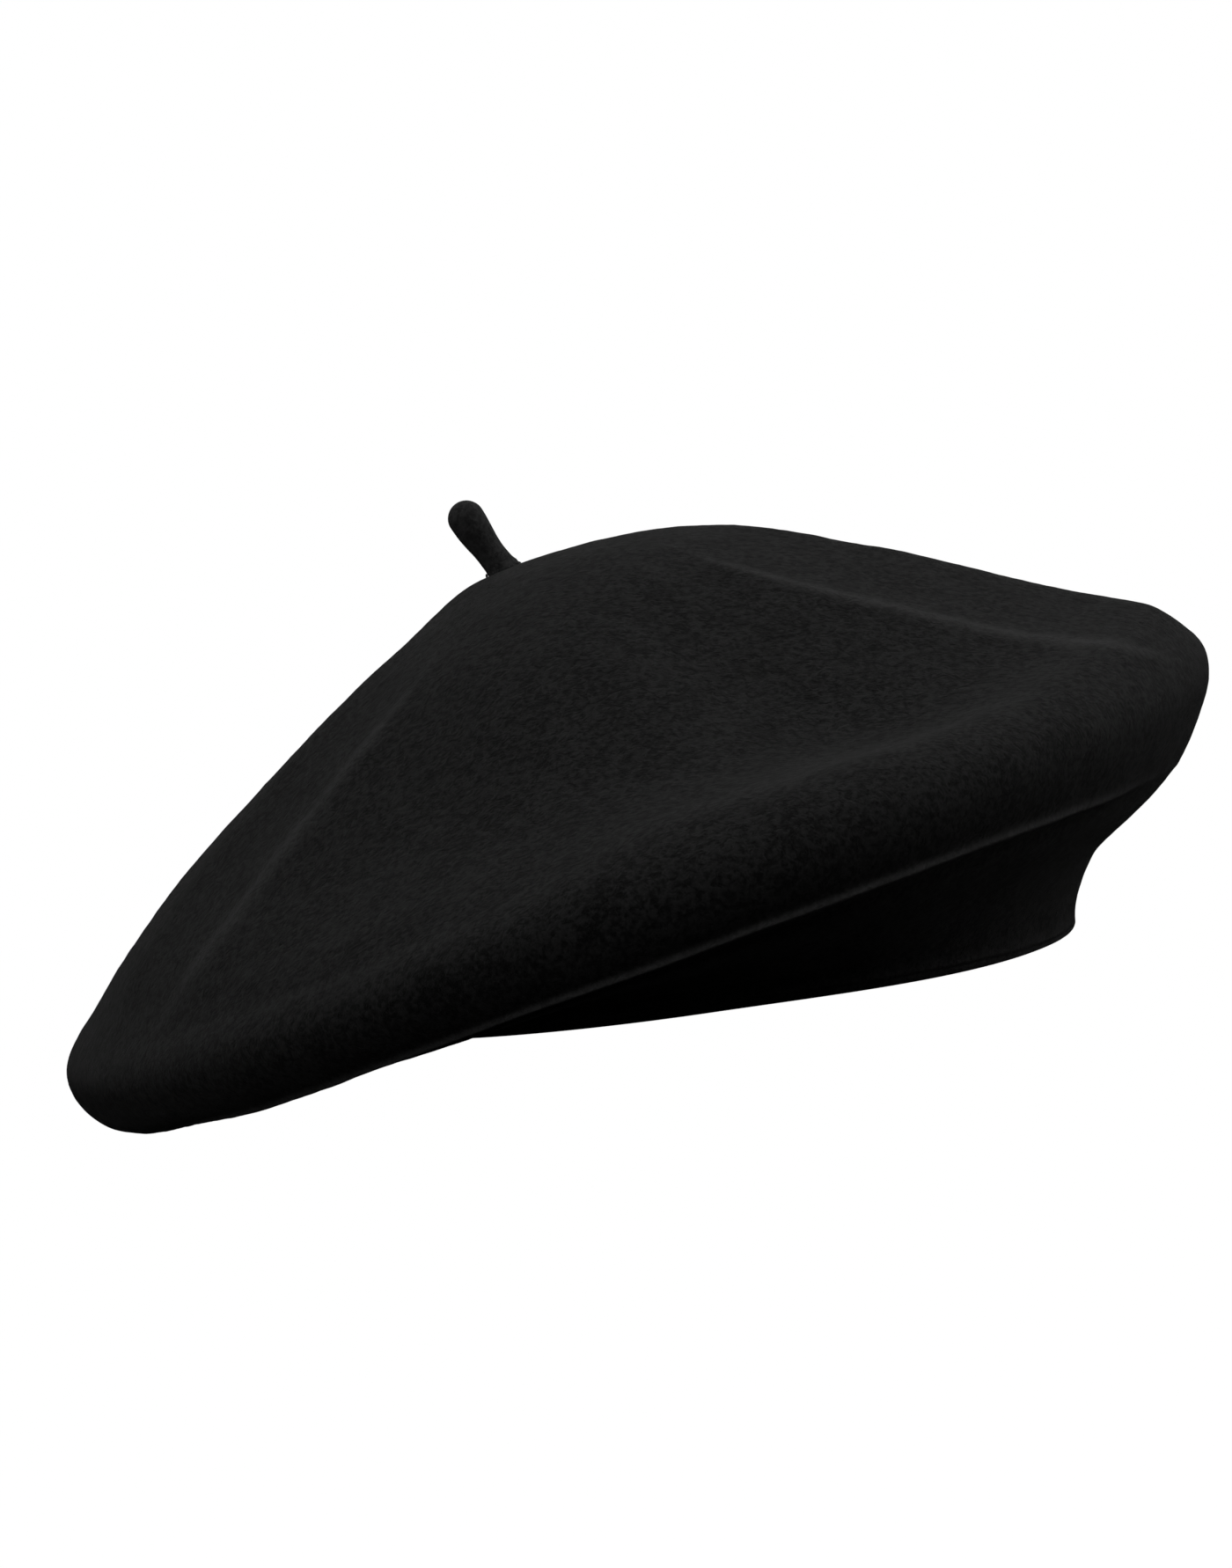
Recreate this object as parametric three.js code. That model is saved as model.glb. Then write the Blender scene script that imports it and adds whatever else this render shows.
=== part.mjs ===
// A wool beret, in the shape it takes on a head: the crown is pushed up and is pulled over to one side.
// Millimetres, +Z up. The origin is the middle of the head opening, whose edge lies in the plane z = 0.
// -Y is the wearer's front, +Y the back, and the crown hangs lowest towards -X, the wearer's right.
import * as THREE from "three";
import { mergeVertices } from "three/addons/utils/BufferGeometryUtils.js";

const { clamp, degToRad, euclideanModulo, radToDeg, smoothstep } = THREE.MathUtils;

const gap = 0.3; // between pieces that touch, so that no two solids share a face

// Head opening, at the outside of the hem
const openingHalfWidth = 82;
const openingHalfLength = 96.5;

// Felt
const feltThickness = 2.2;
const hemThickness = 3.8; // the edge is turned in once, so it is nearly two layers thick
const hemTurnFrom = 8.7; // the levels (see the loops below) over which the turned edge begins
const hemTurnTo = 9.3;
const stemHoleLevel = 0.04; // the hole at the crown's centre that the stem's tack passes through
const feltSides = 56;

// Lining
const liningThickness = 0.5;
const liningDepth = 3.6; // from the felt's outside to the lining's outside
const tipEdge = 4.85; // the tip ends here, at the rim
const sideStart = 4.97; // the side begins here, just below the seam
const sideEnd = 9.4; // and is caught in the hem
const sideTuckFrom = 8.4; // it moves in over these levels, to lie on the turned hem
const sideTuckTo = 9.2;
const liningSides = 40;
const seamThread = 0.4;

// Sweatband, a strip sewn inside the hem
const sweatbandThickness = 0.8;
const sweatbandBottom = 1.5;
const sweatbandTop = 24;
const bandSegments = 64;
const sweatbandSlit = 0.8; // where its two ends meet at the back
const sweatbandDepth = hemThickness + liningThickness + 3 * gap;
const sweatbandFace = sweatbandDepth + sweatbandThickness + gap; // where pieces lie on its inside
const hemThread = 0.35;
const stitchHeight = 3.6;

// Labels
const labelThickness = 0.4;
const sizeLabelAngle = degToRad(113);
const careLabelAngle = degToRad(64);
const careLabelWidth = 24;
const careLabelLength = 17;
const careLabelTop = sweatbandTop - 0.5;
const careLabelBow = 1.4; // the flat label's middle stands this far off the curved band
const tackThread = 0.3;

// Stem, a stub of felted cord that leans to -X
const stemRootRadius = 3.2;
const stemTipRadius = 4;
const stemLength = 17; // from end to end
const stemRootLean = degToRad(33);
const stemTipLean = degToRad(25);
const stemClearance = 0.35; // so that it swings on its root without touching the felt
const lashingRadius = 4.1;
const lashingThread = 0.35;
const tackRadius = 0.6;
const knotRadius = 2.6;

const black = 0x1b1b1b;
const materials = {
  felt: new THREE.MeshStandardMaterial({ name: "felt", color: black, roughness: 0.95, metalness: 0 }),
  satin: new THREE.MeshStandardMaterial({ name: "satin", color: 0x17171a, roughness: 0.4, metalness: 0 }),
  leather: new THREE.MeshStandardMaterial({ name: "leather", color: 0x201c1a, roughness: 0.5, metalness: 0 }),
  thread: new THREE.MeshStandardMaterial({ name: "thread", color: 0x222222, roughness: 0.8, metalness: 0 }),
  label: new THREE.MeshStandardMaterial({ name: "label", color: 0xd8d4c8, roughness: 0.6, metalness: 0 }),
};

// The felt's outer surface is a cubic B-spline over these loops, from the crown's centre out over the rim
// and in to the hem. Each is an ellipse, with its height, how far it rises towards +X (tilt), how far it
// falls towards the back (nod), and how far its two sides rise above its front and back (saddle).
const hemLoop = { x: 0, y: 0, halfX: openingHalfWidth, halfY: openingHalfLength, tilt: 0, nod: 0, saddle: 0 };
const loops = [
  { at: "crown centre", x: -35, y: 3, halfX: 0, halfY: 0, height: 92.5, tilt: 0, nod: 0, saddle: 0 },
  { at: "top of the head", x: -17, y: 3, halfX: 28, halfY: 30, height: 92.5, tilt: 7, nod: 0, saddle: 0 },
  { at: "shoulder of the head", x: -12, y: 0, halfX: 52, halfY: 62, height: 81, tilt: 9, nod: 0, saddle: -2 },
  { at: "slope", x: -4, y: 0, halfX: 102, halfY: 98, height: 52, tilt: 13, nod: -1, saddle: 0 },
  { at: "top of the rim", x: -10, y: 0, halfX: 124, halfY: 122, height: 38, tilt: 26, nod: -3, saddle: -4 },
  { at: "side of the rim", x: -10, y: 0, halfX: 130, halfY: 138, height: 25, tilt: 27, nod: -1, saddle: -3 },
  { at: "pressed crease", x: -9, y: 0, halfX: 116, halfY: 132, height: 6, tilt: 25, nod: 2, saddle: -3 },
  { at: "underside", x: 0, y: 0, halfX: 91, halfY: 113, height: 10, tilt: 8, nod: 1, saddle: 0 },
  { at: "neck", x: 0, y: 0, halfX: 87, halfY: 102, height: 8, tilt: 3, nod: 0, saddle: 3 },
  { ...hemLoop, at: "top of the hem", height: 6 },
  { ...hemLoop, at: "hem", height: 0 },
];
const hemLevel = loops.length - 1;

// Soft folds that run from the head out to the rim: the angle in degrees that each runs along, its height,
// and its half width and the roundness of its top in degrees. A level is a place between two loops, 0 at the
// crown's centre. A fold grows from level `from` to `full`, and dies out from `fading` to `end`.
const folds = [
  { at: -16, rise: 6, halfWidth: 14, softness: 3, from: 0.8, full: 2.6, fading: 3.6, end: 4.9 },
  { at: 22, rise: 3, halfWidth: 16, softness: 5, from: 0.8, full: 2.6, fading: 3.6, end: 4.9 },
  { at: 205, rise: 6, halfWidth: 14, softness: 3, from: 0.8, full: 2.6, fading: 3.6, end: 4.9 },
  { at: -62, rise: -6, halfWidth: 26, softness: 14, from: 0.8, full: 2.2, fading: 2.8, end: 4.2 },
];

function loopPoint(loop, angle) {
  const cos = Math.cos(angle);
  const sin = Math.sin(angle);
  const height = loop.height + loop.tilt * cos - loop.nod * sin + loop.saddle * Math.cos(2 * angle);
  return new THREE.Vector3(loop.x + loop.halfX * cos, loop.y + loop.halfY * sin, height);
}

function controlPoint(index, angle) {
  if (index < 0) return loopPoint(loops[1], angle + Math.PI); // over the crown's centre to the far side
  if (index <= hemLevel) return loopPoint(loops[index], angle);
  const hem = loopPoint(loops[hemLevel], angle);
  return hem.multiplyScalar(2).sub(loopPoint(loops[hemLevel - 1], angle)); // the surface ends on the hem
}

function foldHeight(fold, level, angle) {
  const away = euclideanModulo(radToDeg(angle) - fold.at + 180, 360) - 180;
  const across = Math.exp(-(Math.hypot(away, fold.softness) - fold.softness) / fold.halfWidth);
  const along = smoothstep(level, fold.from, fold.full) * (1 - smoothstep(level, fold.fading, fold.end));
  return fold.rise * across * along;
}

// A point on the felt's outside: level 0 is the crown's centre and hemLevel the edge of the head opening.
function outside(level, angle) {
  const index = Math.min(Math.floor(level), hemLevel - 1);
  const t = level - index;
  const weights = [(1 - t) ** 3, 3 * t ** 3 - 6 * t ** 2 + 4, -3 * t ** 3 + 3 * t ** 2 + 3 * t + 1, t ** 3];
  const point = new THREE.Vector3();
  weights.forEach((weight, k) => point.addScaledVector(controlPoint(index - 1 + k, angle), weight / 6));
  for (const fold of folds) point.z += foldHeight(fold, level, angle);
  return point;
}

function outwardNormal(level, angle) {
  const step = 0.01;
  const middle = clamp(level, step, hemLevel - step);
  const along = outside(middle + step, angle).sub(outside(middle - step, angle));
  const around = outside(middle, angle + step).sub(outside(middle, angle - step));
  return along.cross(around).normalize();
}

// A point at a depth inside the felt's outer surface, never below the plane of the head opening at the hem.
function inside(level, angle, depth) {
  const point = outside(level, angle).addScaledVector(outwardNormal(level, angle), -depth);
  if (level === hemLevel) point.z = 0;
  return point;
}

// A closed skin over rows of points. A row is a ring round the part, or one point where the skin closes over.
// With joined, the last row meets the first, as on a tube bent into a ring.
function skin(rows, joined = false) {
  const positions = [];
  const add = (...points) => points.forEach((p) => positions.push(p.x, p.y, p.z));
  const last = joined ? rows.length : rows.length - 1;
  for (let i = 0; i < last; i++) {
    const a = rows[i];
    const b = rows[(i + 1) % rows.length];
    const around = Math.max(a.length, b.length);
    for (let k = 0; k < around; k++) {
      const next = (k + 1) % around;
      if (b.length > 1) add(a[k % a.length], b[k], b[next]);
      if (a.length > 1) add(a[k], b[next % b.length], a[next]);
    }
  }
  const geometry = new THREE.BufferGeometry();
  geometry.setAttribute("position", new THREE.Float32BufferAttribute(positions, 3));
  const merged = mergeVertices(geometry, 1e-4);
  merged.computeVertexNormals();
  return merged;
}

function ring(pointAt, sides) {
  return Array.from({ length: sides }, (_, k) => pointAt((2 * Math.PI * k) / sides));
}

// A layer that follows the felt between two levels, from one depth inside it to another.
function layer({ from, to, steps, sides, outerDepth, innerDepth }) {
  const level = (k) => from + ((to - from) * k) / steps;
  const row = (k, depth) =>
    from === 0 && k === 0
      ? [inside(0, 0, depth(0))]
      : ring((angle) => inside(k === steps ? to : level(k), angle, depth(level(k))), sides);
  const rows = [];
  for (let k = 0; k <= steps; k++) rows.push(row(k, outerDepth));
  for (let k = steps; k >= 0; k--) rows.push(row(k, innerDepth));
  return skin(rows, from > 0);
}

// A thin plate, its length bent along the head opening's ellipse, at a depth inside the felt's outside.
function bandPlate({ middle, length, depth, thickness, bottom, top, segments }) {
  const geometry = new THREE.BoxGeometry(length, thickness, top - bottom, segments, 1, 1);
  const position = geometry.attributes.position;
  const radius = (openingHalfWidth + openingHalfLength) / 2 - depth;
  for (let i = 0; i < position.count; i++) {
    const angle = middle - position.getX(i) / radius;
    const inward = depth + thickness / 2 - position.getY(i);
    const z = (bottom + top) / 2 + position.getZ(i);
    const x = (openingHalfWidth - inward) * Math.cos(angle);
    position.setXYZ(i, x, (openingHalfLength - inward) * Math.sin(angle), z);
  }
  geometry.computeVertexNormals();
  return geometry;
}

// A round body along a curve in a plane of constant y, with a rounded end at each end.
function roundedRod(curve, startRadius, endRadius, steps, sides) {
  const rows = [];
  const addRow = (centre, direction, radius) => {
    const across = new THREE.Vector3(0, 1, 0);
    const up = direction.clone().cross(across);
    rows.push(
      ring((angle) => {
        const point = centre.clone().addScaledVector(across, radius * Math.sin(angle));
        return point.addScaledVector(up, radius * Math.cos(angle));
      }, sides),
    );
  };
  const endSteps = 4;
  const start = curve.getPointAt(0);
  const startDirection = curve.getTangentAt(0);
  rows.push([start.clone().addScaledVector(startDirection, -startRadius)]);
  for (let k = 1; k < endSteps; k++) {
    const turn = (Math.PI / 2) * (k / endSteps - 1);
    const centre = start.clone().addScaledVector(startDirection, startRadius * Math.sin(turn));
    addRow(centre, startDirection, startRadius * Math.cos(turn));
  }
  for (let k = 0; k <= steps; k++) {
    const radius = startRadius + (endRadius - startRadius) * smoothstep(k / steps, 0, 1);
    addRow(curve.getPointAt(k / steps), curve.getTangentAt(k / steps), radius);
  }
  const end = curve.getPointAt(1);
  const endDirection = curve.getTangentAt(1);
  for (let k = 1; k < endSteps; k++) {
    const turn = (Math.PI / 2) * (k / endSteps);
    const centre = end.clone().addScaledVector(endDirection, endRadius * Math.sin(turn));
    addRow(centre, endDirection, endRadius * Math.cos(turn));
  }
  rows.push([end.clone().addScaledVector(endDirection, endRadius)]);
  return skin(rows);
}

// A thread laid in a ring round the hat, through the centres that centreAt gives for each angle.
function threadRing(centreAt, outwardAt, radius, sides) {
  const section = 5;
  const rows = Array.from({ length: section }, (_, k) => {
    const turn = (2 * Math.PI * k) / section;
    return ring((angle) => {
      const point = centreAt(angle).addScaledVector(outwardAt(angle), radius * Math.cos(turn));
      point.z -= radius * Math.sin(turn);
      return point;
    }, sides);
  });
  return skin(rows, true);
}

const beret = new THREE.Group();

function addPiece(name, geometry, material, parent = beret) {
  const mesh = new THREE.Mesh(geometry, material);
  mesh.name = name;
  parent.add(mesh);
  return mesh;
}

// The felt body, knitted and felted in one piece, with its edge turned in at the head opening
const turnedEdge = (level) => (hemThickness - feltThickness) * smoothstep(level, hemTurnFrom, hemTurnTo);
addPiece(
  "felt_body",
  layer({
    from: stemHoleLevel,
    to: hemLevel,
    steps: 20,
    sides: feltSides,
    outerDepth: () => 0,
    innerDepth: (level) => feltThickness + turnedEdge(level),
  }),
  materials.felt,
);

// The stem and what holds it
const crownCentre = outside(0, 0);
const crownNormal = outwardNormal(0, 0);
const stemRoot = crownCentre.clone().addScaledVector(crownNormal, stemRootRadius + stemClearance);
const lean = (angle) => new THREE.Vector3(-Math.sin(angle), 0, Math.cos(angle));
const stemReach = stemLength - stemRootRadius - stemTipRadius;
const stemBend = stemRoot.clone().addScaledVector(lean(stemRootLean), stemReach / 2);
const stemEnd = stemBend.clone().addScaledVector(lean(stemTipLean), stemReach / 2);
const stemLine = new THREE.QuadraticBezierCurve3(stemRoot, stemBend, stemEnd);
addPiece("stem", roundedRod(stemLine, stemRootRadius, stemTipRadius, 6, 20), materials.felt);

// Pieces centred on the crown's centre are made about +Z and turned to the crown's slope there.
const crownSeat = new THREE.Group();
crownSeat.position.copy(crownCentre);
crownSeat.quaternion.setFromUnitVectors(new THREE.Vector3(0, 0, 1), crownNormal);
beret.add(crownSeat);

const lashing = new THREE.TorusGeometry(lashingRadius, lashingThread, 6, 24);
lashing.translate(0, 0, lashingThread + gap);
addPiece("stem_root_stitching", lashing, materials.thread, crownSeat);

// The tack is a thread through the crown's centre, knotted against the felt's inside.
const knotTop = -(feltThickness + gap);
const knotBottom = -(liningDepth - gap);
const tackProfile = [
  new THREE.Vector2(0, knotBottom),
  new THREE.Vector2(knotRadius * 0.8, knotBottom),
  new THREE.Vector2(knotRadius, (knotBottom + knotTop) / 2),
  new THREE.Vector2(knotRadius * 0.8, knotTop),
  new THREE.Vector2(tackRadius, knotTop),
  new THREE.Vector2(tackRadius, 0),
  new THREE.Vector2(0, 0),
];
const tack = new THREE.LatheGeometry(tackProfile, 16);
tack.rotateX(Math.PI / 2); // a lathe turns about Y
addPiece("stem_tack", tack, materials.thread, crownSeat);

// The lining: a round tip under the crown, and a side that turns in round the rim and is caught in the hem
const liningOuter = () => liningDepth;
const liningInner = () => liningDepth + liningThickness;
addPiece(
  "lining_tip",
  layer({
    from: 0,
    to: tipEdge,
    steps: 9,
    sides: liningSides,
    outerDepth: liningOuter,
    innerDepth: liningInner,
  }),
  materials.satin,
);
const tuck = (level) => smoothstep(level, sideTuckFrom, sideTuckTo) * (hemThickness + gap - liningDepth);
addPiece(
  "lining_side",
  layer({
    from: sideStart,
    to: sideEnd,
    steps: 9,
    sides: liningSides,
    outerDepth: (level) => liningOuter() + tuck(level),
    innerDepth: (level) => liningInner() + tuck(level),
  }),
  materials.satin,
);
const seamDepth = liningInner() + gap + seamThread;
const seamLevel = (tipEdge + sideStart) / 2;
addPiece(
  "lining_seam_stitching",
  threadRing(
    (angle) => inside(seamLevel, angle, seamDepth),
    (angle) => new THREE.Vector3(Math.cos(angle), Math.sin(angle), 0),
    seamThread,
    liningSides,
  ),
  materials.thread,
);

// The sweatband and what is sewn to it
const back = Math.PI / 2;
const bandRadius = (openingHalfWidth + openingHalfLength) / 2 - sweatbandDepth;
addPiece(
  "sweatband",
  bandPlate({
    middle: back + Math.PI,
    length: 2 * Math.PI * bandRadius - sweatbandSlit,
    depth: sweatbandDepth,
    thickness: sweatbandThickness,
    bottom: sweatbandBottom,
    top: sweatbandTop,
    segments: bandSegments,
  }),
  materials.leather,
);
addPiece(
  "sweatband_back_join",
  bandPlate({
    middle: back,
    length: 12,
    depth: sweatbandFace,
    thickness: 0.6,
    bottom: 5.5,
    top: 23,
    segments: 3,
  }),
  materials.leather,
);
addPiece(
  "size_label",
  bandPlate({
    middle: sizeLabelAngle,
    length: 20,
    depth: sweatbandFace,
    thickness: labelThickness,
    bottom: 8,
    top: 20,
    segments: 4,
  }),
  materials.label,
);

const stitchDepth = sweatbandFace + hemThread;
addPiece(
  "sweatband_stitching",
  threadRing(
    (angle) =>
      new THREE.Vector3(
        (openingHalfWidth - stitchDepth) * Math.cos(angle),
        (openingHalfLength - stitchDepth) * Math.sin(angle),
        stitchHeight,
      ),
    (angle) => new THREE.Vector3(Math.cos(angle), Math.sin(angle), 0),
    hemThread,
    bandSegments,
  ),
  materials.thread,
);

// The care label hangs from the sweatband's top edge and swings on its sewn edge.
const careLabelDepth = sweatbandFace + careLabelBow;
const careLabelSeat = new THREE.Group();
careLabelSeat.position.set(
  (openingHalfWidth - careLabelDepth) * Math.cos(careLabelAngle),
  (openingHalfLength - careLabelDepth) * Math.sin(careLabelAngle),
  careLabelTop,
);
careLabelSeat.rotation.z = Math.atan2(
  openingHalfWidth * Math.sin(careLabelAngle),
  openingHalfLength * Math.cos(careLabelAngle),
);
beret.add(careLabelSeat);
const careLabel = new THREE.BoxGeometry(labelThickness, careLabelWidth, careLabelLength);
careLabel.translate(0, 0, -careLabelLength / 2);
addPiece("care_label", careLabel, materials.label, careLabelSeat);

const careLabelStitches = new THREE.CapsuleGeometry(tackThread, careLabelWidth - 2 * tackThread, 3, 8);
careLabelStitches.translate(0, 0, labelThickness / 2 + gap + tackThread);
addPiece("care_label_stitching", careLabelStitches, materials.thread, careLabelSeat);

export default beret;
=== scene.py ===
"""The looks of a black wool beret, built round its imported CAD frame.

Row frame: +Z up, -Y the wearer's front, +X the wearer's left. Lengths are in millimetres until a mesh is
made, when they are scaled to metres.
"""

import math

import bpy
import numpy as np
from mathutils import Matrix, Vector


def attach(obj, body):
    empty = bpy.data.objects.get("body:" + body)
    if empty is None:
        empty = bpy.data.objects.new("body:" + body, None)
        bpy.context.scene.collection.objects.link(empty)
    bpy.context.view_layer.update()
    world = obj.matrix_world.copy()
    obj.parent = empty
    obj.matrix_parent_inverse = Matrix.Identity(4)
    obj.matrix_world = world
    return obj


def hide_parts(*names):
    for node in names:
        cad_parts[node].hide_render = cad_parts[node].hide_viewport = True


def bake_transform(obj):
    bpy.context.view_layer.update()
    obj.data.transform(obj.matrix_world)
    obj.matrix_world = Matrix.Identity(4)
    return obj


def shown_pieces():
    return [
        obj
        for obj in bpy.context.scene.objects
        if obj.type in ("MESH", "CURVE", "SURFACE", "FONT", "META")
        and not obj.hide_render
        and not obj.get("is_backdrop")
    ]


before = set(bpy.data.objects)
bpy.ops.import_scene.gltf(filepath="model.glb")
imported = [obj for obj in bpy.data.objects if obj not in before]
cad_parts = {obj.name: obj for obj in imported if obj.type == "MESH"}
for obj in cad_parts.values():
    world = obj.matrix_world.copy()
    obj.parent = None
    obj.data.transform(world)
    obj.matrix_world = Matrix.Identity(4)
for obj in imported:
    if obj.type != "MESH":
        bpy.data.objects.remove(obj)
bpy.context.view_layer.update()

MM = 0.001
TAU = 2 * math.pi

# ---------------------------------------------------------------- driving dimensions, as the CAD has them

OPENING_HALF_WIDTH = 82.0
OPENING_HALF_LENGTH = 96.5
GAP = 0.3
FELT = 2.2
HEM = 3.8
LINING_DEPTH = 3.6
LINING = 0.5
BAND = 0.8
BAND_DEPTH = HEM + 0.5 + 3 * GAP
BAND_FACE = BAND_DEPTH + BAND + GAP
BAND_BOTTOM = 1.5
BAND_TOP = 24.0

STEM_ROOT_RADIUS = 3.2
STEM_TIP_RADIUS = 4.0
STEM_LENGTH = 17.0
STEM_ROOT_LEAN = math.radians(33)
STEM_TIP_LEAN = math.radians(25)

# Control loops of the felt's outer surface, from the crown's centre over the rim and in to the hem:
# centre x, centre y, half width, half length, height, tilt (rise towards +X), nod (fall towards the back)
# and saddle (rise of both sides). Most of the values down to the neck were found by a least-squares fit
# to the object's outline and then rounded.
LOOPS = np.array(
    [
        (-35, 3, 0, 0, 92.5, 0, 0, 0),  # crown's centre
        (-17, 3, 28, 30, 92.5, 7, 0, 0),  # top of the head
        (-12, 0, 52, 62, 81, 9, 0, -2),  # shoulder of the head
        (-4, 0, 102, 98, 52, 13, -1, 0),  # slope
        (-10, 0, 124, 122, 38, 26, -3, -4),  # top of the rim
        (-10, 0, 130, 138, 25, 27, -1, -3),  # side of the rim
        (-9, 0, 116, 132, 6, 25, 2, -3),  # pressed crease
        (0, 0, 91, 113, 10, 8, 1, 0),  # underside
        (0, 0, 87, 102, 8, 3, 0, 3),  # neck
        (0, 0, OPENING_HALF_WIDTH, OPENING_HALF_LENGTH, 6, 0, 0, 0),  # top of the hem
        (0, 0, OPENING_HALF_WIDTH, OPENING_HALF_LENGTH, 0, 0, 0, 0),  # hem
    ],
    float,
)
HEM_LEVEL = len(LOOPS) - 1
CREASE_LEVEL = 6.0
HOLE_LEVEL = 0.04

# Soft folds from the head out to the rim: angle, rise, half width and softness in degrees, and the levels
# where the fold begins, is full, fades and ends.
FOLDS = [
    (-16, 6, 14, 3, 0.8, 2.6, 3.6, 4.9),
    (22, 3, 16, 5, 0.8, 2.6, 3.6, 4.9),
    (205, 6, 14, 3, 0.8, 2.6, 3.6, 4.9),
    (-62, -6, 26, 14, 0.8, 2.2, 2.8, 4.2),
]

# Sharper creases that only show in the looks. Each runs out from the head along a line of (level, angle):
# line, rise, half width and softness in degrees, and the levels where it begins, is full, fades and ends.
# The points of the first two lines were located by a program, copied in and later rounded.
RIGHT_LINE = (
    (1.6, 311),
    (2.2, 318),
    (2.7, 323),
    (3.2, 326),
    (3.6, 327),
    (4.1, 329),
    (4.5, 336),
    (4.7, 342),
)
LEFT_LINE = (
    (2.0, 228),
    (2.6, 224),
    (3.2, 221),
    (3.6, 220),
    (4.0, 218),
    (4.3, 216),
    (4.6, 211),
)
RIDGES = [
    (RIGHT_LINE, 1.5, 6, 0.6, (1.1, 2.0, 3.9, 4.75)),
    (LEFT_LINE, 1.3, 3.5, 0.6, (1.6, 2.5, 3.6, 4.8)),
    (((1.5, 281), (4.0, 302)), -4.2, 14, 8, (1.1, 2.6, 3.0, 4.3)),
    (((2.0, 240), (4.4, 236)), -0.9, 8, 4, (1.8, 2.8, 3.6, 4.4)),
    (((2.0, 209), (4.5, 207)), -1.4, 7, 3, (1.8, 2.8, 4.0, 4.8)),
    (((1.0, 8), (5.0, 8)), -1.4, 26, 12, (0.9, 2.3, 3.6, 4.6)),
    (((4.5, 0), (6.0, 0)), -0.7, 26, 12, (4.4, 4.9, 5.2, 5.8)),
    (((1.5, 70), (4.5, 62)), 2.4, 9, 2.5, (1.1, 2.2, 3.6, 4.6)),
    (((1.5, 128), (4.5, 140)), 2.0, 8, 2.5, (1.3, 2.4, 3.8, 4.7)),
    (((1.5, 100), (4.5, 98)), -2.0, 14, 6, (1.2, 2.2, 3.2, 4.2)),
]

# The shoulder, where the slope turns down into the rim, as (angle, level, rise).
SHOULDER = (
    (0, 4.7, 1.2),
    (60, 4.4, 1.2),
    (95, 4.0, 1.2),
    (150, 4.3, 1.2),
    (214, 4.98, 1.9),
    (228, 5.06, 2.3),
    (240, 5.06, 2.1),
    (256, 4.86, 1.4),
    (272, 4.2, 0.7),
    (290, 4.45, 0.7),
    (310, 4.8, 0.9),
    (334, 4.86, 1.1),
    (360, 4.7, 1.2),
)

# A painted highlight: a paler band along the left front of the rim, where it turns to the light, as (angle,
# level, paleness).
PAINTED_RIM_HIGHLIGHT = (
    (206, 4.56, 0),
    (218, 4.55, 0.07),
    (237, 4.52, 0.1),
    (247, 4.47, 0.08),
    (257, 4.34, 0.05),
    (268, 4.2, 0),
)


# ---------------------------------------------------------------- the felt's outer surface


def smoothstep(x, low, high):
    t = np.clip((np.asarray(x, float) - low) / (high - low), 0, 1)
    return t * t * (3 - 2 * t)


def loop_points(loop, angles):
    x, y, half_width, half_length, height, tilt, nod, saddle = loop
    cos, sin = np.cos(angles), np.sin(angles)
    z = height + tilt * cos - nod * sin + saddle * np.cos(2 * angles)
    return np.stack([x + half_width * cos, y + half_length * sin, z], -1)


def away_from(angle, angles):
    """How far angles in radians lie from an angle in degrees, in degrees."""
    return (np.degrees(angles) - angle + 180) % 360 - 180


def read_off(table, at, column):
    """A column of a table, read off at places between the values of its first column."""
    return np.interp(at, [row[0] for row in table], [row[column] for row in table])


def fold_heights(levels, angles):
    """The folds' rise over a grid of levels and angles."""
    total = np.zeros((len(levels), len(angles)))
    for at, rise, half_width, softness, begins, full, fades, ends in FOLDS:
        away = away_from(at, angles)
        across = np.exp(-(np.hypot(away, softness) - softness) / half_width)
        along = smoothstep(levels, begins, full) * (1 - smoothstep(levels, fades, ends))
        total += rise * along[:, None] * across[None, :]
    return total


def outside(levels, angles):
    """Points of the felt's outside over a grid of levels and angles: a cubic B-spline across the loops."""
    levels = np.asarray(levels, float)
    controls = np.stack([loop_points(loop, angles) for loop in LOOPS])
    over_the_top = loop_points(LOOPS[1], angles + math.pi)
    past_the_hem = 2 * controls[-1] - controls[-2]
    controls = np.concatenate([over_the_top[None], controls, past_the_hem[None]])
    index = np.clip(np.floor(levels).astype(int), 0, HEM_LEVEL - 1)
    t = (levels - index)[:, None, None]
    weights = [(1 - t) ** 3, 3 * t**3 - 6 * t**2 + 4, -3 * t**3 + 3 * t**2 + 3 * t + 1, t**3]
    points = sum(w * controls[index + k] for k, w in enumerate(weights)) / 6
    points[..., 2] += fold_heights(levels, angles)
    return points


def outward_normals(levels, angles):
    step = 0.01
    middle = np.clip(np.asarray(levels, float), step, HEM_LEVEL - step)
    along = outside(middle + step, angles) - outside(middle - step, angles)
    around = outside(middle, angles + step) - outside(middle, angles - step)
    normals = np.cross(along, around)
    return normals / np.linalg.norm(normals, axis=-1, keepdims=True)


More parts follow.
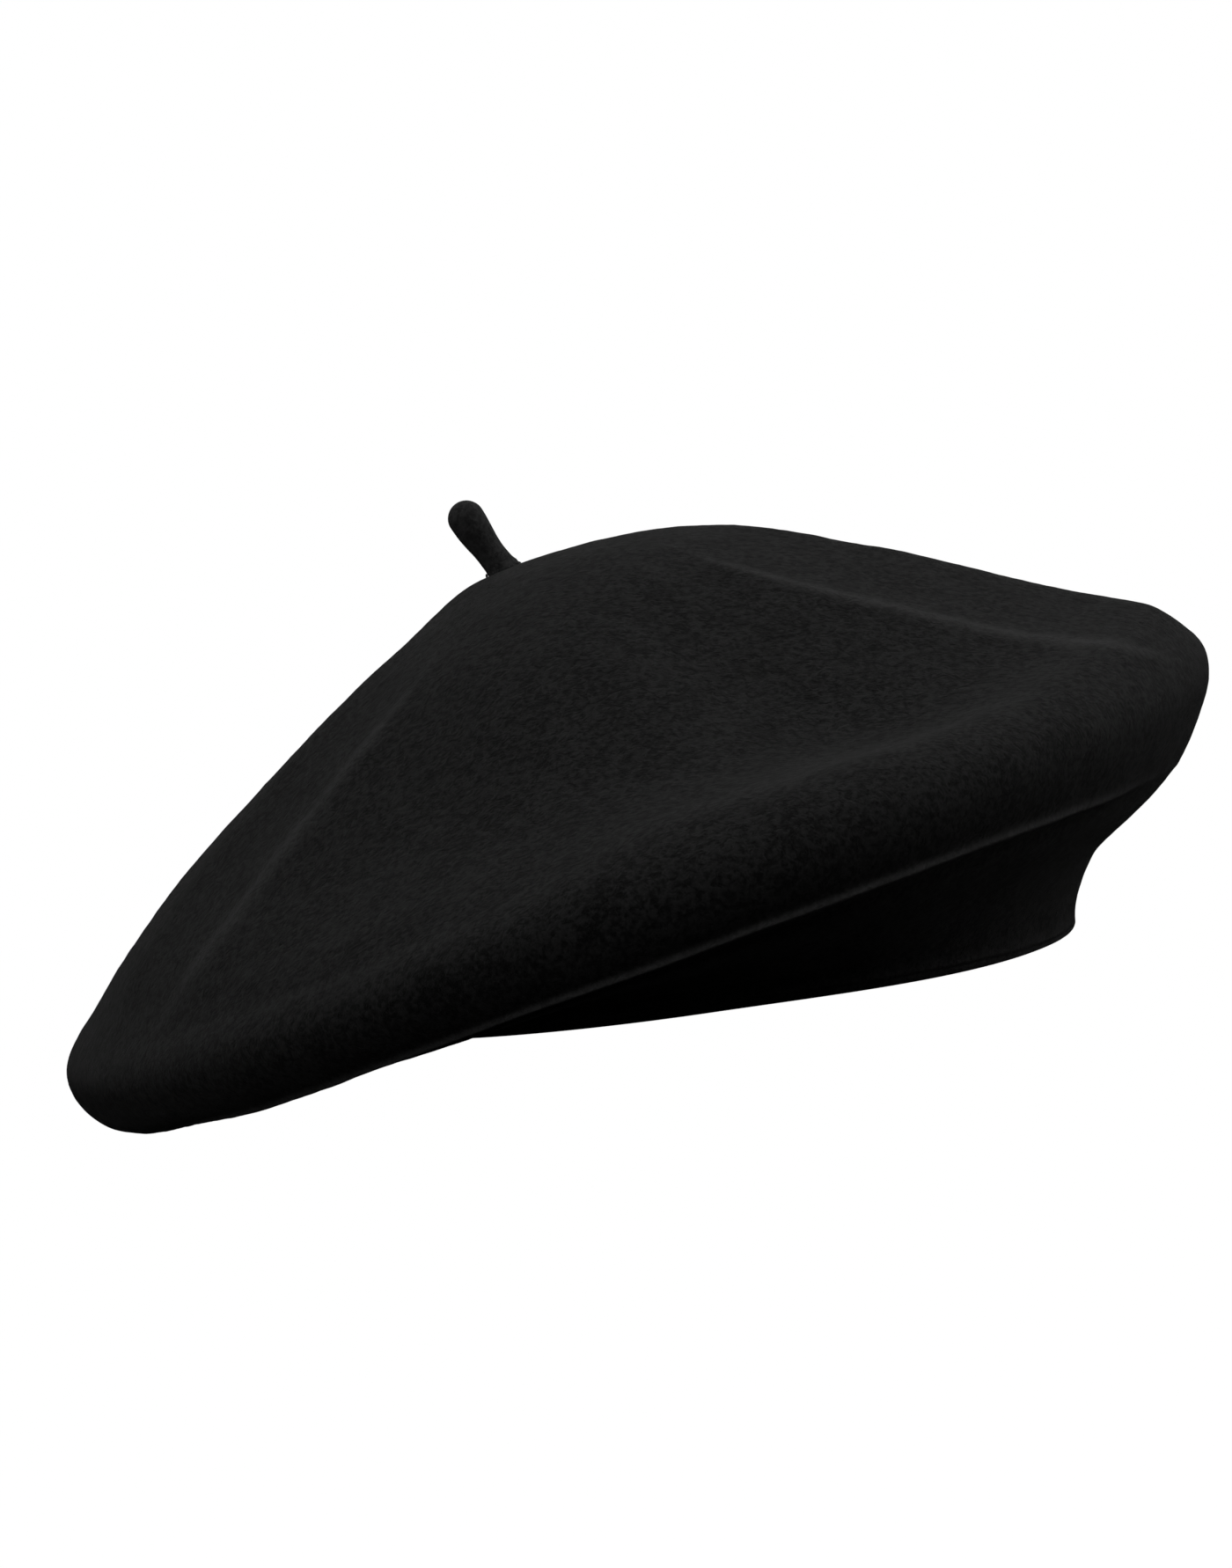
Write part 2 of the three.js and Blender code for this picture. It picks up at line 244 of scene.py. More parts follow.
def creases(levels, angles):
    """The rise of the sharp creases over a grid, and a paleness from 0 to 1 that paints highlights on their
    crests, on the shoulder and along the left front of the rim.
    """
    rise = np.zeros((len(levels), len(angles)))
    paleness = np.zeros_like(rise)
    for line, height, half_width, softness, window in RIDGES:
        crest = read_off(line, levels, 1)
        away = away_from(crest[:, None], angles[None, :])
        across = np.exp(-(np.hypot(away, softness) - softness) / half_width)
        along = smoothstep(levels, *window[:2]) * (1 - smoothstep(levels, *window[2:]))
        rise += height * along[:, None] * across
        # Raised crests get a painted highlight: paleness along their top.
        if height > 0:
            paleness += 0.25 / softness * along[:, None] * np.exp(-((away / 1.6) ** 2))
    around = np.degrees(angles) % 360
    crest = read_off(SHOULDER, around, 1)
    height = read_off(SHOULDER, around, 2)
    away = levels[:, None] - crest[None, :]
    rise += height * np.exp(-(np.hypot(away, 0.5) - 0.5) / 0.3)
    rise -= 0.4 * height * np.exp(-(((away + 0.6) / 0.35) ** 2))
    # A painted highlight just above the shoulder's crest, where the slope turns up to the light.
    paleness += 0.02 * height * np.exp(-(((away + 0.15) / 0.25) ** 2))
    # The painted highlight band along the left front of the rim.
    highlight_level = read_off(PAINTED_RIM_HIGHLIGHT, around, 1)
    amount = read_off(PAINTED_RIM_HIGHLIGHT, around, 2)
    paleness += amount * np.exp(-(((levels[:, None] - highlight_level) / 0.1) ** 2))
    return rise, paleness


def ring_angles(count):
    return np.arange(count) * TAU / count


# ---------------------------------------------------------------- noise


def value_noise(points, size, seed):
    """Smooth noise from -1 to 1 over points, with bumps about `size` across."""
    lattice = np.random.RandomState(seed).uniform(-1, 1, (32, 32, 32))
    p = np.asarray(points, float) / size
    cell = np.floor(p).astype(int)
    f = p - cell
    f = f * f * (3 - 2 * f)
    total = 0
    for dx in (0, 1):
        for dy in (0, 1):
            for dz in (0, 1):
                x, y, z = ((cell[..., k] + step) % 32 for k, step in enumerate((dx, dy, dz)))
                corner = lattice[x, y, z]
                share = (f[..., 0] if dx else 1 - f[..., 0]) * (f[..., 1] if dy else 1 - f[..., 1])
                total = total + corner * share * (f[..., 2] if dz else 1 - f[..., 2])
    return total


# ---------------------------------------------------------------- meshes


def new_object(name, points, faces, material, smooth=True):
    mesh = bpy.data.meshes.new(name)
    mesh.from_pydata((np.asarray(points, float) * MM).tolist(), [], faces)
    mesh.validate()
    mesh.polygons.foreach_set("use_smooth", [smooth] * len(mesh.polygons))
    mesh.materials.append(material)
    mesh.update()
    obj = bpy.data.objects.new(name, mesh)
    bpy.context.scene.collection.objects.link(obj)
    return obj


def skin(rows, looped=False):
    """Points and faces of a skin over rings of points. It is closed by a row of one point at each end, or by
    looping from the last row back to the first."""
    starts = np.cumsum([0] + [len(r) for r in rows])
    points = np.concatenate(rows)
    faces = []
    for i in range(len(rows) if looped else len(rows) - 1):
        j = (i + 1) % len(rows)
        a, b = len(rows[i]), len(rows[j])
        for k in range(max(a, b)):
            n = (k + 1) % max(a, b)
            if a == 1:
                faces.append((starts[i], starts[j] + k, starts[j] + n))
            elif b == 1:
                faces.append((starts[i] + k, starts[j], starts[i] + n))
            else:
                faces.append((starts[i] + k, starts[j] + k, starts[j] + n, starts[i] + n))
    return points, [tuple(int(v) for v in f) for f in faces]


def tube_rows(centres, radii, sides, up=(0.0, 0.0, 1.0)):
    """Rings round a line of centres, for skin()."""
    centres = np.asarray(centres, float)
    tangents = np.gradient(centres, axis=0)
    tangents /= np.linalg.norm(tangents, axis=1, keepdims=True)
    rows = []
    for centre, tangent, radius in zip(centres, tangents, radii):
        side = np.cross(tangent, up)
        side /= np.linalg.norm(side)
        other = np.cross(tangent, side)
        angles = ring_angles(sides)[:, None]
        rows.append(centre + radius * (np.cos(angles) * side + np.sin(angles) * other))
    return rows


def capsule(start, end, radius, bow, sides=8, steps=6):
    """A short plump stitch from start to end, bowed out by a vector. Its points and faces."""
    start, end, bow = (np.asarray(v, float) for v in (start, end, bow))
    t = np.linspace(0, 1, steps + 1)
    centres = start + (end - start) * t[:, None] + bow * (np.sin(math.pi * t) ** 0.7)[:, None]
    radii = radius * np.sqrt(np.clip(1 - (2 * t - 1) ** 4, 0, 1))
    up = bow / np.linalg.norm(bow)
    rows = tube_rows(centres, radii, sides, up)
    return skin([centres[:1], *rows[1:-1], centres[-1:]])


def joined(parts):
    """Several sets of points and faces as one."""
    points, faces, start = [], [], 0
    for p, f in parts:
        points.append(p)
        faces += [tuple(v + start for v in face) for face in f]
        start += len(p)
    return np.concatenate(points), faces


# ---------------------------------------------------------------- materials


class Nodes:
    """A short way to write a material's nodes."""

    def __init__(self, name):
        self.material = bpy.data.materials.new(name)
        self.material.use_nodes = True
        self.tree = self.material.node_tree
        self.shader = self.tree.nodes["Principled BSDF"]
        self.place = self.add("ShaderNodeTexCoord").outputs["Object"]

    def add(self, kind, inputs=None, **settings):
        node = self.tree.nodes.new(kind)
        for key, value in settings.items():
            setattr(node, key, value)
        for key, value in (inputs or {}).items():
            if isinstance(value, bpy.types.NodeSocket):
                self.tree.links.new(value, node.inputs[key])
            else:
                node.inputs[key].default_value = value
        return node

    def noise(self, size_mm, detail=2.0, roughness=0.5, place=None, curl=0.0):
        """Noise with bumps about size_mm across, curled into worms by curl."""
        inputs = {"Vector": place or self.place, "Scale": 1 / (size_mm * MM), "Detail": detail,
                  "Roughness": roughness, "Distortion": curl}
        return self.add("ShaderNodeTexNoise", inputs).outputs["Fac"]

    def stretched(self, x, y, z):
        """The place, scaled by a factor along each axis."""
        inputs = {0: self.place, 1: (x, y, z)}
        return self.add("ShaderNodeVectorMath", inputs, operation="MULTIPLY").outputs[0]

    def math(self, operation, a, b=0.0):
        return self.add("ShaderNodeMath", {0: a, 1: b}, operation=operation).outputs[0]

    def ramp(self, value, low, high, from_low=0.3, from_high=0.7):
        inputs = {
            "Value": value,
            "From Min": from_low,
            "From Max": from_high,
            "To Min": low,
            "To Max": high,
        }
        return self.add("ShaderNodeMapRange", inputs).outputs["Result"]

    def mix(self, share, first, second):
        node = self.add("ShaderNodeMix", data_type="RGBA")
        self.tree.links.new(share, node.inputs["Factor"])
        for socket, colour in ((node.inputs[6], first), (node.inputs[7], second)):
            if isinstance(colour, bpy.types.NodeSocket):
                self.tree.links.new(colour, socket)
            else:
                socket.default_value = (*colour, 1)
        return node.outputs[2]

    def bump(self, height, depth_mm, strength=1.0, below=None):
        inputs = {"Height": height, "Distance": depth_mm * MM, "Strength": strength}
        if below is not None:
            inputs["Normal"] = below
        return self.add("ShaderNodeBump", inputs).outputs["Normal"]

    def finish(self, colour, roughness, normal, **constants):
        for socket, value in (("Base Color", colour), ("Roughness", roughness), ("Normal", normal)):
            if isinstance(value, bpy.types.NodeSocket):
                self.tree.links.new(value, self.shader.inputs[socket])
            else:
                self.shader.inputs[socket].default_value = value
        for socket, value in constants.items():
            self.shader.inputs[socket.replace("_", " ")].default_value = value
        return self.material


def felt_material(name, dark, light):
    """Milled wool: matt, near-black, faintly mottled, with a short nap that catches light at the edges, and
    painted highlights, with real wear at the hem, where the mesh's paleness is high.
    """
    n = Nodes(name)
    patches = n.noise(8, 3, 0.55)
    tufts = n.noise(1.7, 2, 0.6, curl=1.4)
    fibres = n.noise(0.55, 3, 0.7, curl=2.0)
    hairs = n.noise(0.2, 2, 0.7, curl=4.0)
    specks = n.noise(1.35, 1, 0.5)
    mottle = n.math("ADD", n.math("MULTIPLY", tufts, 0.45), n.math("MULTIPLY", patches, 0.15))
    mottle = n.math("ADD", mottle, n.math("MULTIPLY", specks, 0.4))
    colour = n.mix(n.ramp(mottle, 0, 1, 0.43, 0.57), (dark,) * 3, (light,) * 3)
    # Painted highlights on crests, shoulder and crease lip, and real wear at the hem, turn the colour pale
    # grey where the mesh's paleness is high.
    paleness = n.add("ShaderNodeAttribute", attribute_name="paleness").outputs["Fac"]
    painted_highlight_and_wear = n.math("MULTIPLY", paleness, n.ramp(tufts, 0.6, 1))
    colour = n.mix(painted_highlight_and_wear, colour, (0.09, 0.09, 0.09))
    normal = n.bump(tufts, 0.55, 0.8)
    normal = n.bump(fibres, 0.28, 0.8, normal)
    normal = n.bump(hairs, 0.1, 0.9, normal)
    return n.finish(
        colour,
        n.ramp(tufts, 0.86, 1.0),
        normal,
        Specular_IOR_Level=0.18,
        Sheen_Weight=0.2,
        Sheen_Roughness=0.4,
        Sheen_Tint=(0.55, 0.55, 0.55, 1),
    )


def satin_material():
    """Black satin lining: fine floats that run one way give a soft, streaky gloss."""
    n = Nodes("satin_lining")
    floats = n.noise(0.5, 2, 0.5, n.stretched(0.12, 1, 1))
    creases = n.noise(14, 3, 0.5)
    colour = n.mix(n.ramp(floats, 0, 1), (0.012, 0.012, 0.014), (0.03, 0.03, 0.034))
    normal = n.bump(creases, 0.3, 0.35)
    normal = n.bump(floats, 0.08, 0.4, normal)
    return n.finish(
        colour,
        n.ramp(floats, 0.36, 0.48),
        normal,
        Specular_IOR_Level=0.5,
        Anisotropic=0.6,
        Sheen_Weight=0.1,
        Sheen_Roughness=0.3,
    )


def leather_material():
    """Thin dyed sheepskin: fine pebbled grain, a little worn and paler where it rubs."""
    n = Nodes("sweatband_leather")
    grain = n.add("ShaderNodeTexVoronoi", {"Vector": n.place, "Scale": 1 / (0.9 * MM)}).outputs["Distance"]
    pores = n.noise(0.25, 2, 0.5)
    paleness = n.noise(12, 4, 0.6)
    colour = n.mix(n.ramp(paleness, 0, 1, 0.4, 0.7), (0.018, 0.014, 0.012), (0.05, 0.039, 0.032))
    normal = n.bump(grain, 0.12, 0.7)
    normal = n.bump(pores, 0.04, 0.5, normal)
    return n.finish(colour, n.ramp(paleness, 0.38, 0.58), normal, Specular_IOR_Level=0.45)


def thread_material():
    """Black spun thread, its twist showing as slanting ribs."""
    n = Nodes("sewing_thread")
    twist = n.add(
        "ShaderNodeTexWave",
        {"Vector": n.stretched(1, 1, 1), "Scale": 1 / (2.2 * MM), "Distortion": 1.0, "Detail": 1.0},
        bands_direction="DIAGONAL",
    ).outputs["Fac"]
    fuzz = n.noise(0.15, 2, 0.6)
    colour = n.mix(n.ramp(twist, 0, 1, 0.2, 0.8), (0.012, 0.012, 0.012), (0.05, 0.05, 0.05))
    normal = n.bump(twist, 0.08, 0.8)
    normal = n.bump(fuzz, 0.03, 0.5, normal)
    return n.finish(colour, n.ramp(fuzz, 0.55, 0.8), normal, Specular_IOR_Level=0.3)


def label_material():
    """Off-white woven tape: fine crossing threads and a slightly yellowed, handled surface."""
    n = Nodes("label_tape")
    across = n.add("ShaderNodeTexWave", {"Vector": n.place, "Scale": 1 / (1.9 * MM)},
                   bands_direction="Z").outputs["Fac"]
    along = n.add("ShaderNodeTexWave", {"Vector": n.place, "Scale": 1 / (1.9 * MM)},
                  bands_direction="X").outputs["Fac"]
    weave = n.math("MULTIPLY", across, along)
    stain = n.noise(7, 3, 0.6)
    colour = n.mix(n.ramp(stain, 0, 1), (0.52, 0.49, 0.42), (0.68, 0.66, 0.6))
    colour = n.mix(n.ramp(weave, 0.25, 0, 0, 0.6), colour, (0.38, 0.35, 0.29))
    roughness = n.ramp(weave, 0.75, 0.5, 0, 1)
    return n.finish(colour, roughness, n.bump(weave, 0.05, 0.7), Specular_IOR_Level=0.3)


felt = felt_material("wool_felt", 0.0005, 0.0205)
# The stem's cord is this felt painted lighter, to stand in for light that its steep, front-facing side does
# not get.
cord_felt_painted_lighter = felt_material("felted_cord_painted_lighter", 0.022, 0.048)
satin = satin_material()
leather = leather_material()
thread = thread_material()
tape = label_material()


# ---------------------------------------------------------------- felt body

FELT_SIDES = 560
FELT_LEVELS = 320
INNER_LEVELS = 90


def folded(levels, angles, depth):
    """Points at a depth inside the felt's outside, creases included. depth may vary over the grid."""
    rise, _ = creases(np.asarray(levels, float), angles)
    depth = np.broadcast_to(np.asarray(depth, float), rise.shape)
    return outside(levels, angles) + outward_normals(levels, angles) * (rise - depth)[..., None]


def even_levels(count, first, last, near_crease=1.0):
    """Levels from first to last that lie evenly along the felt, and closer together near the crease."""
    fine = np.linspace(first, last, 4000)
    points = outside(fine, ring_angles(8))
    steps = np.linalg.norm(np.diff(points, axis=0), axis=-1).mean(1)
    steps *= 1 + (near_crease - 1) * np.exp(-(((fine[1:] - CREASE_LEVEL) / 0.22) ** 4))
    distance = np.concatenate([[0], np.cumsum(steps)])
    return np.interp(np.linspace(0, distance[-1], count), distance, fine)


def crease_lip(levels, angles):
    """The pressed crease under the rim: a thin lip that is sharpest in front and at the back. Returns the
    lip's rise and a paleness along its edge that paints the lip's thin highlight.
    """
    crest = CREASE_LEVEL - 0.13 + 0.02 * np.sin(3 * angles + 1) + 0.01 * np.sin(7 * angles)
    away = levels[:, None] - crest[None, :]
    sharp = 0.12 + 0.88 * smoothstep(np.abs(np.sin(angles)), 0.35, 0.75)[None, :]
    lip = np.exp(-((away / 0.06) ** 2))
    behind = np.exp(-(((away - 0.2) / 0.12) ** 2))
    return sharp * (1.0 * lip - 0.6 * behind), sharp * np.exp(-(((away + 0.015) / 0.06) ** 2))


def felt_body():
    angles = ring_angles(FELT_SIDES)
    hem_round = 1.9
    levels = even_levels(FELT_LEVELS, HOLE_LEVEL, HEM_LEVEL - 0.3, 3.5)
    points = outside(levels, angles)
    normals = outward_normals(levels, angles)
    lip, lip_highlight = crease_lip(levels, angles)
    rise, paleness = creases(levels, angles)
    lift = lip + rise
    lift += 0.45 * value_noise(points, 34, 1) + 0.18 * value_noise(points, 11, 2)
    lift += 0.07 * value_noise(points, 3.2, 3) + 0.05 * value_noise(points, 1.6, 4)
    lift *= smoothstep(levels, 0.05, 0.5)[:, None]
    outer = points + normals * lift[..., None]
    sag = 1.7 * smoothstep(levels, 7.6, 9.4)[:, None] * smoothstep(np.cos(angles), 0.0, 0.85)[None, :]
    outer[..., 2] -= sag

    rows = list(outer)
    base = outside([float(HEM_LEVEL)], angles)[0]
    base[:, 2] -= sag[-1]
    hem_normal = outward_normals([float(HEM_LEVEL)], angles)[0]
    turn = np.linspace(0, math.pi, 14)
    for a in turn:
        inward = hem_round * (1 - math.cos(a))
        rows.append(base - hem_normal * inward + np.array([0, 0, hem_round * (1 - math.sin(a))]))
    for z in (4.0, 6.0, 8.0):
        rows.append(base - hem_normal * HEM + np.array([0, 0, z]))
    inner_levels = even_levels(INNER_LEVELS, HOLE_LEVEL, 9.0)[::-1]
    depth = FELT + (HEM - FELT) * smoothstep(inner_levels, 8.7, 9.3)
    rows += list(folded(inner_levels, angles, depth[:, None]))
    obj = new_object("beret_felt", *skin(rows, looped=True), felt)
    # Paleness per point: painted highlights on the creases, the shoulder and the crease lip, and real wear
    # on the hem and the first part of its turn.
    painted_highlight_and_wear = np.zeros(len(obj.data.vertices), np.float32)
    hem_wear = 0.3 * smoothstep(levels, 9.2, 9.65)[:, None]
    painted_highlight_and_wear[: paleness.size] = np.clip(paleness + lip_highlight + hem_wear, 0, 1).ravel()
    painted_highlight_and_wear[paleness.size : paleness.size + 8 * FELT_SIDES] = 0.3
    obj.data.attributes.new("paleness", "FLOAT", "POINT").data.foreach_set("value", painted_highlight_and_wear)
    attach(obj, "hat")
    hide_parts("felt_body")


felt_body()

# ---------------------------------------------------------------- stem

CROWN_CENTRE = outside([0.0], np.array([0.0]))[0, 0]
CROWN_NORMAL = outward_normals([0.0], np.array([0.0]))[0, 0]
STEM_ROOT = CROWN_CENTRE + CROWN_NORMAL * (STEM_ROOT_RADIUS + 0.35)
STEM_FOOT = CROWN_CENTRE - np.array([0.6, 0, 0])
FOOT_LEAN = math.radians(31)


def lean(angle):
    return np.array([-math.sin(angle), 0, math.cos(angle)])


def stem_line(t):
    """The stem's middle line, from its root at 0 to the middle of its round end at 1."""
    t = np.asarray(t, float)[:, None]
    reach = STEM_LENGTH - STEM_ROOT_RADIUS - STEM_TIP_RADIUS
    bend = STEM_ROOT + lean(STEM_ROOT_LEAN) * reach / 2
    end = bend + lean(STEM_TIP_LEAN) * reach / 2
    return (1 - t) ** 2 * STEM_ROOT + 2 * t * (1 - t) * bend + t**2 * end


def stem():
    """A stub of felted cord that grows out of the crown with a small flare and ends in a round club."""
    sides = 72
    body = np.linspace(0, 1, 60)
    middle = STEM_FOOT + 6.8 * lean(FOOT_LEAN)
    end = stem_line([1.0])[0] - np.array([1.3, 0, 0])
    t = body[:, None]
    centres = (1 - t) ** 2 * STEM_FOOT + 2 * t * (1 - t) * middle + t**2 * end
    radii = STEM_ROOT_RADIUS + (STEM_TIP_RADIUS - STEM_ROOT_RADIUS) * smoothstep(body, 0.3, 0.95)
    radii += 0.5 * np.exp(-body * 12)
    tip_direction = end - middle
    tip_direction /= np.linalg.norm(tip_direction)
    foot_centres = STEM_FOOT - lean(FOOT_LEAN) * np.array([2.6, 1.8, 1.0])[:, None]
    foot_radii = np.full(3, STEM_ROOT_RADIUS + 0.5)
    turn = np.linspace(0, math.pi / 2, 20)[1:-1]
    tip_centres = centres[-1] + STEM_TIP_RADIUS * np.sin(turn)[:, None] * tip_direction
    tip_radii = STEM_TIP_RADIUS * np.cos(turn)
    all_centres = np.concatenate([foot_centres, centres, tip_centres])
    all_radii = np.concatenate([foot_radii, radii, tip_radii])
    rows = tube_rows(all_centres, all_radii, sides, (0.0, 1.0, 0.0))
    for k, (centre, row) in enumerate(zip(all_centres, rows)):
        swell = 1 + 0.016 * value_noise(row, 4, 5) + 0.01 * value_noise(row, 1.3, 6)
        rows[k] = centre + (row - centre) * swell[:, None]
    first = all_centres[:1]
    last = centres[-1:] + STEM_TIP_RADIUS * tip_direction
    points, faces = skin([first, *rows, last])
    obj = new_object("stem_stub", points, [f[::-1] for f in faces], cord_felt_painted_lighter)
    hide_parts("stem")
    end = (STEM_ROOT + CROWN_NORMAL * 3.5) * MM
    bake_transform(obj)


stem()

# ---------------------------------------------------------------- stitches and knot at the stem

ACROSS_Y = np.array([0.0, 1.0, 0.0])
ACROSS_X = np.cross(ACROSS_Y, CROWN_NORMAL)


def root_whipping():
    """Small overcast stitches that hold the stem's foot to the crown."""
    rng = np.random.RandomState(7)
    along = lean(FOOT_LEAN)
    side = np.cross(along, ACROSS_Y)
    radius = STEM_ROOT_RADIUS + 0.45
    parts = []
    count = 19
    for k in range(count):
        angle = k * TAU / count + rng.uniform(-0.04, 0.04)
        outward = math.cos(angle) * side + math.sin(angle) * ACROSS_Y
        slant = 0.3 * (math.cos(angle) * ACROSS_Y - math.sin(angle) * side)
        edge = STEM_FOOT + radius * outward
        edge = edge - along * ((edge - CROWN_CENTRE) @ CROWN_NORMAL) / (along @ CROWN_NORMAL)
        head = edge + along * (0.55 + rng.uniform(-0.1, 0.1)) - outward * 0.22
        foot = edge + outward * (0.3 + rng.uniform(-0.1, 0.1)) + slant - CROWN_NORMAL * 0.16
        parts.append(capsule(head, foot, 0.12, (outward + along) * 0.06))
    obj = new_object("root_whipping", *joined(parts), thread)
    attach(obj, "hat")
    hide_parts("stem_root_stitching")


def tack_knot():
    """The thread that ties the stem: two strands through the crown and a flat hand-tied knot inside."""
    parts = []
    t = np.linspace(0, TAU, 260)
    round_axis = 1.5 + 0.62 * np.cos(5 * t)
    x = round_axis * np.cos(2 * t)
    y = round_axis * np.sin(2 * t)
    depth = FELT + 0.72 - 0.22 * np.sin(5 * t)
    knot = CROWN_CENTRE + x[:, None] * ACROSS_X + y[:, None] * ACROSS_Y - depth[:, None] * CROWN_NORMAL
    parts.append(skin(tube_rows(knot[:-1], [0.24] * (len(knot) - 1), 8, (0.31, 0.52, 0.79)), looped=True))
    for side in (0, math.pi):
        turns = np.linspace(0, 1, 24)
        twist = side + turns * 2.5
        strand = CROWN_CENTRE - (0.1 + turns * (FELT + 0.5))[:, None] * CROWN_NORMAL
        strand = strand + 0.24 * (np.cos(twist)[:, None] * ACROSS_X + np.sin(twist)[:, None] * ACROSS_Y)
        rows = tube_rows(strand, [0.22] * 24, 8, (0.0, 1.0, 0.0))
        parts.append(skin([strand[:1], *rows, strand[-1:]]))
    obj = new_object("tack_knot", *joined(parts), thread)
    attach(obj, "hat")
    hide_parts("stem_tack")


root_whipping()
tack_knot()

# ---------------------------------------------------------------- lining

LINING_SIDES = 420
SEAM_LEVEL = 4.91


def puckers(levels, angles, edge, reach, seed):
    """Small gathers that run off a sewn edge, from 0 to 1, strongest at the edge."""
    circle = np.stack([np.cos(angles) * 40, np.sin(angles) * 40, angles * 0], -1)
    phase = 2.2 * value_noise(circle, 11, seed)
    ridges = 0.5 + 0.5 * np.sin(74 * angles + 2.4 * phase)
    uneven = 0.55 + 0.45 * np.sin(13 * angles + 1.7 * phase)
    fade = np.exp(-np.abs(levels - edge) / reach)
    return fade[:, None] * (ridges * uneven)[None, :]


def slack(levels, angles, seed):
    """How far the lining hangs off the felt, in soft creases."""
    points = outside(levels, angles)
    across = value_noise(points * np.array([1.0, 1.0, 0.5]), 60, seed)
    fine = value_noise(points, 16, seed + 1)
    spokes = np.sin(11 * angles + 1.3 * np.sin(3 * angles + seed))[None, :]
    hang = 1.3 + 0.9 * across + 0.12 * fine + 0.5 * spokes * smoothstep(levels, 1.0, 3.6)[:, None]
    return np.clip(hang, 0, 3)


def lining_tip():
    """The round of satin under the crown."""
    angles = ring_angles(LINING_SIDES)
    levels = even_levels(76, 0.02, SEAM_LEVEL - 0.012)
    room = smoothstep(levels, 0.4, 1.0) * (1 - smoothstep(levels, 4.3, 4.85))
    depth = LINING_DEPTH + room[:, None] * slack(levels, angles, 11)
    depth = depth + 0.9 * puckers(levels, angles, SEAM_LEVEL, 0.42, 21)
    depth += 1.2 * np.exp(-((SEAM_LEVEL - levels) / 0.05) ** 2)[:, None]
    outer = folded(levels, angles, depth)
    inner = folded(levels, angles, depth + LINING)
    top = CROWN_CENTRE - CROWN_NORMAL * LINING_DEPTH
    bottom = CROWN_CENTRE - CROWN_NORMAL * (LINING_DEPTH + LINING)
    points, faces = skin([top[None], *outer, *inner[::-1], bottom[None]])
    obj = new_object("lining_tip_satin", points, faces, satin)
    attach(obj, "hat")
    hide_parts("lining_tip")
    return obj


def lining_side():
    """The band of satin that turns in round the rim and down into the hem."""
    angles = ring_angles(LINING_SIDES)
    levels = even_levels(84, SEAM_LEVEL + 0.012, 9.4)
    tuck = smoothstep(levels, 8.4, 9.2) * (HEM + GAP - LINING_DEPTH)
    room = smoothstep(levels, 4.97, 5.5) * (1 - smoothstep(levels, 7.6, 8.4))
    depth = LINING_DEPTH + tuck[:, None] + room[:, None] * slack(levels, angles, 13)
    depth = depth + 0.9 * puckers(levels, angles, SEAM_LEVEL, 0.42, 22)
    depth += 0.35 * puckers(levels, angles, 9.4, 0.5, 23) * (1 - smoothstep(levels, 8.6, 9.2))[:, None]
    depth += 1.2 * np.exp(-((levels - SEAM_LEVEL) / 0.05) ** 2)[:, None]
    outer = folded(levels, angles, depth)
    inner = folded(levels, angles, depth + LINING)
    points, faces = skin([*outer, *inner[::-1]], looped=True)
    obj = new_object("lining_side_satin", points, faces, satin)
    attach(obj, "hat")
    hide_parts("lining_side")
    return obj


def lining_seam_stitches():
    """Overcast stitches that close the turned-in seam between the lining's tip and side."""
    count = 216
    rng = np.random.RandomState(5)
    angles = ring_angles(count)
    start = folded([SEAM_LEVEL - 0.05], angles, LINING_DEPTH + LINING + 1.0)[0]
    end = folded([SEAM_LEVEL + 0.05], angles + 0.45 * TAU / count, LINING_DEPTH + LINING + 1.0)[0]
    normals = outward_normals([SEAM_LEVEL], angles)[0]
    parts = []
    for k in range(count):
        lean_over = rng.uniform(-0.15, 0.15, 3)
        parts.append(capsule(start[k], end[k] + lean_over, 0.2, -normals[k] * 0.75))
    obj = new_object("lining_seam_stitches", *joined(parts), thread)
    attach(obj, "hat")
    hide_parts("lining_seam_stitching")


tip_satin = lining_tip()
side_satin = lining_side()
lining_seam_stitches()

# ---------------------------------------------------------------- sweatband and labels

BACK = math.pi / 2
BAND_SLIT = 0.8
MEAN_RADIUS = (OPENING_HALF_WIDTH + OPENING_HALF_LENGTH) / 2


def band_lean(angle, z):
    """How far the band's face stands in from where it is sewn. Its free top edge waves a little."""
    free = smoothstep(z, 4, BAND_TOP)
    wave = 0.35 * np.sin(3 * angle + 0.6) + 0.25 * np.sin(7 * angle + 2.1) + 0.12 * np.sin(17 * angle)
    return free * (0.35 + wave)


def on_band(angle, z, depth):
    """A point by its angle round the head opening, its height, and its depth inside the felt."""
    angle, z, depth = np.broadcast_arrays(*(np.asarray(v, float) for v in (angle, z, depth)))
    inward = depth + band_lean(angle, z)
    x = (OPENING_HALF_WIDTH - inward) * np.cos(angle)
    y = (OPENING_HALF_LENGTH - inward) * np.sin(angle)
    return np.stack([x, y, z], -1)


def rounded_outline(width, height, corner, per_corner=7, per_side=10):
    """Points round a rectangle with round corners, about its middle."""
    points = []
    half = np.array([width / 2 - corner, height / 2 - corner])
    for quarter in range(4):
        middle = half * ((1, 1), (-1, 1), (-1, -1), (1, -1))[quarter]
        turn = np.linspace(0, math.pi / 2, per_corner) + quarter * math.pi / 2
        arc = middle + corner * np.stack([np.cos(turn), np.sin(turn)], -1)
        following = half * ((-1, 1), (-1, -1), (1, -1), (1, 1))[quarter]
        away = ((0, 1), (-1, 0), (0, -1), (1, 0))[quarter]
        side = np.linspace(arc[-1], following + corner * np.array(away), per_side + 2)[1:-1]
        points += [arc, side]
    return np.concatenate(points)


